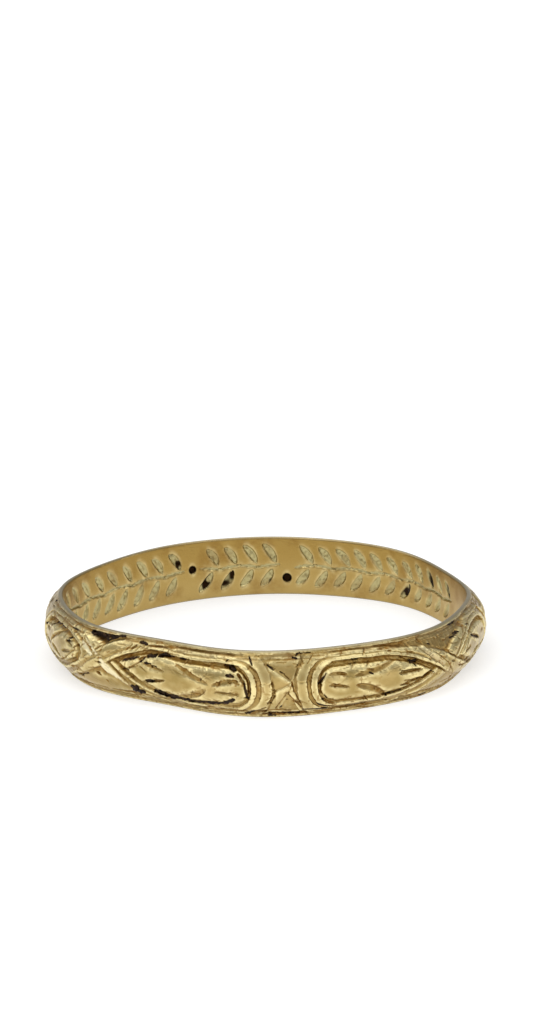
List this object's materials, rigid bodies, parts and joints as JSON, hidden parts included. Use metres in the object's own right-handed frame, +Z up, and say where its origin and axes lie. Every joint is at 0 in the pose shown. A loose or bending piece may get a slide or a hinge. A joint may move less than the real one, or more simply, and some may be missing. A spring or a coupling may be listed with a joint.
{
  "type": "posy ring",
  "caption": "Old gold finger band with a flat inside and a rounded outside, chased with crossing ribbons round carved leaves, slightly bent out of round.",
  "frame": {"origin": "middle of the ring's outline seen from above, on the plane that its lower rim rests on", "axes": "+Z up along the finger hole, -Y toward the picture's third view, +X to its right"},
  "size_m": [0.0202, 0.0202, 0.0031],
  "materials": {
    "gold": "old yellow gold, worn satin, darker in the recesses",
    "enamel": "remnants of glossy black enamel"
  },
  "bodies": {
    "root": {"band": "gold"}
  },
  "joints": []
}
